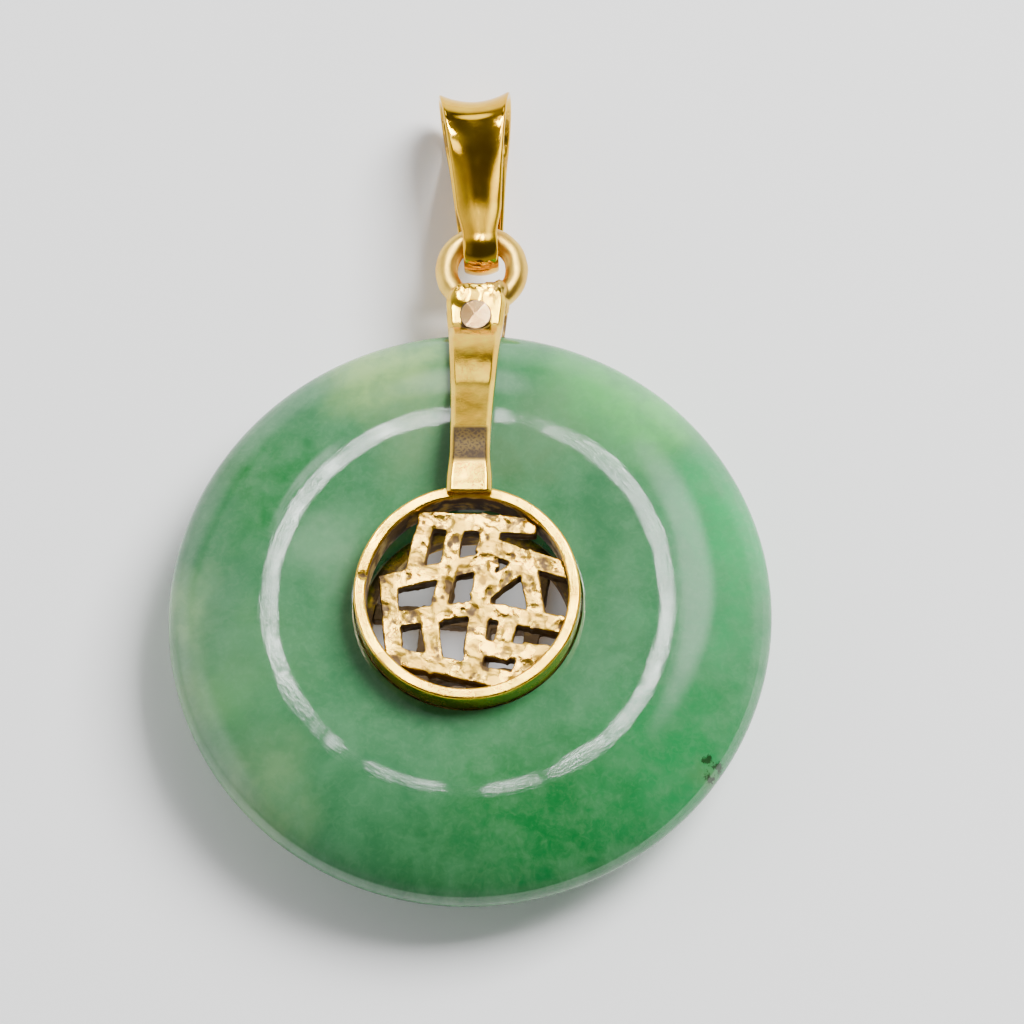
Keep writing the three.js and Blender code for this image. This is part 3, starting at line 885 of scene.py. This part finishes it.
def makeRing(material):
    # A circle swept round a circle, joined with the lumps of solder into one skin, which a ripple pushes along
    # its normals, more where the skin is off the wire.
    low, high = boxInMillimetres("hanging_ring")
    middle = (low + high) / 2
    wire = (high[2] - low[2]) / 2
    radius = (high[0] - low[0]) / 2 - wire
    u, v = np.meshgrid(fullTurn(ring["around"]), fullTurn(ring["wireAround"]), indexing="ij")
    spoke = radius + wire * np.cos(v)
    torus = np.stack([spoke * np.cos(u), spoke * np.sin(u), wire * np.sin(v)], -1).reshape(-1, 3) + middle
    shapes = [makeMesh("torus", torus, gridFaces(ring["around"], ring["wireAround"], joinRows=True))]
    for x, y, z, *halves in solderLumps:
        ball = bmesh.new()
        bmesh.ops.create_uvsphere(ball, u_segments=24, v_segments=14, radius=1)
        lump = bpy.data.meshes.new("lump")
        ball.to_mesh(lump)
        ball.free()
        lump.transform(Matrix.Translation((x, y, z)) @ Matrix.Diagonal((*halves, 1)))
        shapes.append(lump)
    points, normals, faces = voxelSkin(shapes, ring["voxel"], ring["smoothing"])
    spoke = np.hypot(points[:, 0] - middle[0], points[:, 1] - middle[1])
    off = np.abs(np.hypot(spoke - radius, points[:, 2]) - wire)
    solder = smoothStep(off, 0.03, 0.12) * (points[:, 1] < middle[1])
    lumps = 0.6 * ripple(points, 0.45, 31) + 0.4 * ripple(points, 0.2, 32)
    push = ring["rough"] * ripple(points, 1.0, 33) + ring["solderRough"] * solder * lumps
    points = points + normals * push[:, None]
    # Darker in the hollows between the solder's lumps: their grime and painted shade.
    masks = {"dirtAndShade": np.clip(0.55 * solder * smoothStep(-lumps, 0.0, 1.2), 0, 1)}
    makePiece("ringAndSolder", points, faces, material, "pendant", ["hanging_ring"], masks)


# Bail

bail = {
    "sheet": 0.36,
    "play": 0.52,  # between the wire and each leaf
    "drop": 0.55,
    "length": 6.1,
    "foldRadius": 1.9,
    "eyeWidth": 1.75,
    "leafWidth": 2.06,
    "topWidth": 3.7,
    "flare": 0.55,
    "crown": 0.2,  # how much thinner the edges are
    "rounding": 0.16,
    "waver": 0.006,
    "rubbed": (0.0023, 0.0014),  # where the rubbing round the hinge begins and is full, in metres
    "rubbedRoughness": 0.16,
    "stations": 360,
}


def makeBail(material):
    # A strip carried round two arcs and the straights between them, its outer face crowned, flared at the fold.
    hinge = (np.array(bailJoint["pos_m"]) - discMiddle) * 1000
    axis = np.array(bailJoint["axis"])
    wireLow, wireHigh = boxInMillimetres("hanging_ring")
    wire = (wireHigh[2] - wireLow[2]) / 2
    eye = wire + bail["play"] + bail["sheet"] / 2
    fold = bail["foldRadius"] - bail["sheet"] / 2
    lean = math.asin((fold - eye) / (bail["length"] + bail["drop"]))
    foldAngles = np.linspace(-lean, math.pi + lean, 200)
    eyeAngles = np.linspace(math.pi + lean, 2 * math.pi - lean, 160)
    route = np.concatenate([
        np.stack([fold * np.cos(foldAngles), bail["length"] + fold * np.sin(foldAngles)], -1),
        np.stack([eye * np.cos(eyeAngles), eye * np.sin(eyeAngles) - bail["drop"]], -1),
    ])
    route = np.concatenate([route, route[:1]])
    along = np.concatenate([[0], np.cumsum(np.linalg.norm(np.diff(route, axis=0), axis=1))])
    at = np.linspace(0, along[-1], bail["stations"], endpoint=False)
    side, up = (np.interp(at, along, route[:, i]) for i in range(2))
    forwardSide, forwardUp = (np.roll(v, -1) - np.roll(v, 1) for v in (side, up))
    size = np.hypot(forwardSide, forwardUp)
    forwardSide, forwardUp = forwardSide / size, forwardUp / size
    t = np.clip((up + bail["drop"]) / (bail["length"] + fold + bail["drop"]), 0, 1)
    width = bail["eyeWidth"] + (bail["leafWidth"] - bail["eyeWidth"]) * smoothStep(t, 0, 0.2)
    half = (width + (bail["topWidth"] - bail["leafWidth"]) * (0.73 * t + 0.27 * t**6)) / 2
    flared = t[:, None] ** 4
    s = bail["sheet"] / 2
    corners = [(-1, 0, -s), (-1, 0, s), (1, 0, s), (1, 0, -s)]
    section = roundedSection(corners, bail["rounding"], 5, [1, 30, 1, 30])
    x = section[None, :, 0] * half[:, None] + section[None, :, 1]
    crown = bail["crown"] * (section[None, :, 2] + s) / (2 * s)
    reach = section[None, :, 2] + (bail["flare"] * flared - crown * (1 - flared)) * (x / half[:, None]) ** 2
    points = np.stack(
        [x, up[:, None] - forwardSide[:, None] * reach, side[:, None] + forwardUp[:, None] * reach], -1
    ).reshape(-1, 3)
    points += bail["waver"] * ripple(points, 2.4, 41)[:, None] * np.array([0, 0, 1])
    lowest = boxInMillimetres("bail")[0][2]
    least, most = 0.0, math.pi / 4
    for _ in range(24):  # halve the angle until the fold lies on the surface
        angle = (least + most) / 2
        depth = (points[:, 2] * math.cos(angle) - points[:, 1] * math.sin(angle)).min() + hinge[2]
        least, most = (least, angle) if depth < lowest else (angle, most)
    turnDown = np.array(Matrix.Rotation(-least, 3, "X"))
    turnAside = np.array(Matrix.Rotation(math.atan2(axis[1], axis[0]), 3, "Z"))
    points = points @ (turnAside @ turnDown).T + hinge
    # Painted shade on the inner face of the strip, inside the loop.
    inner = smoothStep(section[:, 2], 0.0, -s)[None, :] * np.ones_like(half)[:, None]
    dirtAndShade = inner.ravel() * 0.35
    faces = gridFaces(len(at), len(section), joinRows=True)
    makePiece("bailStrip", points, faces, material, "bail", ["bail"], {"dirtAndShade": dirtAndShade})


def bailMaterial():
    # Polished gold, duller where the ring has rubbed the eye.
    material = goldMaterial("bailGold", "deepYellow", 0.05, 0.001, 0.2, 2.0, dirtAndShade="brown", spread=0.03)
    shader, surface = reopen(material)
    place = shader.add("TexCoord").outputs["Object"]
    hinge = tuple(map(float, bailJoint["pos_m"]))
    away = shader.vector("DISTANCE", place, hinge, "Value")
    rubbed = shader.times(shader.stretch(away, *bail["rubbed"]), bail["rubbedRoughness"])
    gloss = surface.inputs["Roughness"].links[0].from_socket
    shader.put(surface.inputs["Roughness"], shader.plus(gloss, rubbed))
    return material


# Camera, floor and light

view = {
    "tilt": 20.4,  # degrees off straight down
    "aside": 5.8,  # degrees round to the right
    "roll": 5.04,
    "target": (1.99, 5.62, 0.0),
    "distance": 396.0,
    "seenWidth": 51.12,  # width of the picture at the target
}


def makeCamera():
    tilt, aside, roll = (math.radians(view[key]) for key in ("tilt", "aside", "roll"))
    back = Vector((math.sin(tilt) * math.sin(aside), -math.sin(tilt) * math.cos(aside), math.cos(tilt)))
    up = (Vector((0, 0, 1)) - back * back.z).normalized()
    right = up.cross(back)
    turnedRight = right * math.cos(roll) - up * math.sin(roll)
    turnedUp = right * math.sin(roll) + up * math.cos(roll)
    data = bpy.data.cameras.new("camera")
    data.sensor_width = 36
    data.lens = 36 * view["distance"] / view["seenWidth"]
    data.clip_start, data.clip_end = 0.01, 10
    camera = newObject("camera", data)
    target = Vector(view["target"]) * 0.001 + Vector(discMiddle)
    turn = Matrix((turnedRight, turnedUp, back)).transposed().to_4x4()
    camera.matrix_world = Matrix.Translation(target + back * view["distance"] * 0.001) @ turn
    bpy.context.scene.camera = camera


card = {
    "reach": 1.2,  # metres each way
    "colour": (0.93, 0.93, 0.93, 1),
    "roughness": 0.8,
    "shine": 0.1,
    "glowColour": (0.96, 0.98, 1, 1),
    "glow": 0.08,  # a little light of its own, which lifts the shadows
}


def makeFloor():
    mesh = bpy.data.meshes.new("floor")
    reach = card["reach"]
    corners = [(-reach, -reach, 0), (reach, -reach, 0), (reach, reach, 0), (-reach, reach, 0)]
    mesh.from_pydata(corners, [], [(0, 1, 2, 3)])
    material = bpy.data.materials.new("whiteCard")
    material.use_nodes = True
    shader, surface = reopen(material)
    shader.fill(surface, {
        "Base Color": card["colour"],
        "Roughness": card["roughness"],
        "Specular IOR Level": card["shine"],
        "Emission Color": card["glowColour"],
        "Emission Strength": card["glow"],
    })
    mesh.materials.append(material)
    floor = newObject("floor", mesh)


# Soft boxes: the way towards each from the disc, its distance, width, length and turn in degrees, its
# brightness, whether polished faces show it and whether it lights matt ones. The cores brighten the middles
# of the strips. The one in the disc's hole is weak, and lights what the lattices' windows show.
softBoxes = {
    "leftStrip": ((-0.138, 0.398, 0.907), 400, 24, 134, 19, 40, True, False),
    "leftCore": ((-0.138, 0.398, 0.907), 399, 6, 100, 19, 150, True, False),
    "rightStrip": ((0.095, 0.358, 0.929), 400, 22, 152, 5, 40, True, False),
    "rightCore": ((0.095, 0.358, 0.929), 399, 6, 112, 5, 150, True, False),
    "throughHole": ((0.0, 0.0, 1.0), 0.6, 7, 7, 0, 1.6, False, True),
    "key": ((0.55, 0.42, 0.72), 500, 260, 260, 0, 26, False, True),
}

# Parts of the room by the way across, back or up: where each begins and ends, and its brightness at either.
room = {
    "low": (0.52, 0.22, 0.3, 1.8),
    "left": (-0.3, -0.6, 1.0, 3.6),
    "aboveLeft": (0.45, 0.55, 1.0),
    "beyond": (-0.1, 0.45, 0.2, 1.0),
    "middleAcross": (0.3, 0.08),
    "middleBack": (0.45, 0.6),
    "middleUp": (0.4, 0.5),
    "middle": (0.0, 1.0, 1.0, 0.25),
}

# Soft glows in the room: the way towards each, its reach across and upwards, and its brightness.
roomGlows = {
    "window": ((0.34, 0.40, 0.85), 0.17, 0.36, 4.5),
    "top": ((-0.06, 0.76, 0.65), 0.16, 0.12, 2.6),
    "upperLeft": ((-0.23, 0.48, 0.85), 0.07, 0.10, 4.0),
    "lowLeft": ((-0.93, -0.10, 0.35), 0.3, 0.5, 1.6),
}


def makeLights():
    for name, (way, distance, width, height, turn, bright, seen, lights) in softBoxes.items():
        data = bpy.data.lights.new(name, "AREA")
        data.shape = "RECTANGLE"
        data.size, data.size_y = width * 0.001, height * 0.001
        data.energy = bright * math.pi * data.size * data.size_y
        lamp = newObject(name, data)
        lamp.visible_glossy = seen
        lamp.visible_diffuse = lights
        back = Vector(way).normalized()
        across = Vector((0, 1, 0)).cross(back).normalized()
        frameTurn = Matrix((across, back.cross(across), back)).transposed().to_4x4()
        place = Matrix.Translation(back * distance * 0.001 + Vector(discMiddle))
        lamp.matrix_world = place @ frameTurn @ Matrix.Rotation(-math.radians(turn), 4, "Z")
    # The room: brightest low down beyond the bail, dim overhead, dark on the camera's side and in the middle.
    world = bpy.data.worlds.new("room")
    world.use_nodes = True
    tree = world.node_tree
    shader = Shader(tree)
    direction = shader.add("TexCoord").outputs["Generated"]
    way = shader.add("SeparateXYZ", {0: direction}).outputs
    low = shader.stretch(way["Z"], *room["low"])
    left = shader.stretch(way["X"], *room["left"])
    left = shader.times(low, shader.stretch(way["Z"], *room["aboveLeft"], left))
    middle = shader.stretch(shader.math("ABSOLUTE", way["X"]), *room["middleAcross"])
    middle = shader.times(middle, shader.stretch(way["Y"], *room["middleBack"]))
    middle = shader.times(middle, shader.stretch(way["Z"], *room["middleUp"]))
    bright = shader.times(left, shader.stretch(way["Y"], *room["beyond"]))
    bright = shader.times(bright, shader.stretch(middle, *room["middle"]))
    for centre, across, upwards, value in roomGlows.values():
        off = shader.vector("SUBTRACT", direction, centre)
        off = shader.vector("DIVIDE", off, (across, upwards, 1.0))
        glow = shader.group(groups["patch"], place=off, centre=(0, 0, 0), reach=1.0, soft=0.6)["mask"]
        bright = shader.plus(bright, shader.times(glow, value))
    shader.put(tree.nodes["Background"].inputs["Strength"], bright)
    tree.nodes["Background"].inputs["Color"].default_value = (1, 1, 1, 1)
    bpy.context.scene.world = world


makeCamera()
print("camera placed")
makeJadeDisc()
collarGold = goldMaterial("collarGold", "yellow", 0.16, 0.005, 0.9, 1.0, dirtAndShade="brown")
makeCollar("frontCollar", "front_collar", 1, collarGold)
makeCollar("backCollar", "back_collar", -1, collarGold)
castGold = goldMaterial("castGold", "castYellow", 0.2, 0.007, 0.6, 0.5, dirtAndShade="brown", spread=0.14)
makeMedallion("frontMedallion", "front_medallion", 1, castGold, 51)
makeMedallion("backMedallion", "back_medallion", -1, castGold, 61)
strapGold = strapMaterial()
collarHigh = boxInMillimetres("front_collar")[1]
frontFoot = collarHigh[1] - collar["wall"] + 0.1
backFoot = collarHigh[1] + 0.06
frontSeat = collarHigh[2] + 0.03
makeStrap("frontStrap", "front_strap", 1, strap["frontTab"], frontFoot, frontSeat, strapGold, True)
backTop = -boxInMillimetres("back_collar")[0][2]
backSeat = backTop - strap["thickness"]
makeStrap("backStrap", "back_strap", -1, strap["backTab"], backFoot, backSeat, strapGold, False)
makeRivet(goldMaterial("rivetGold", "rose", 0.2, 0.004, 0.6, 0.8))
makeRing(goldMaterial("ringGold", "paleYellow", 0.28, 0.005, 0.3, 1.2, dirtAndShade="brown"))
makeBail(bailMaterial())
print("pieces made")
makeFloor()
makeLights()
print("floor and lights placed")
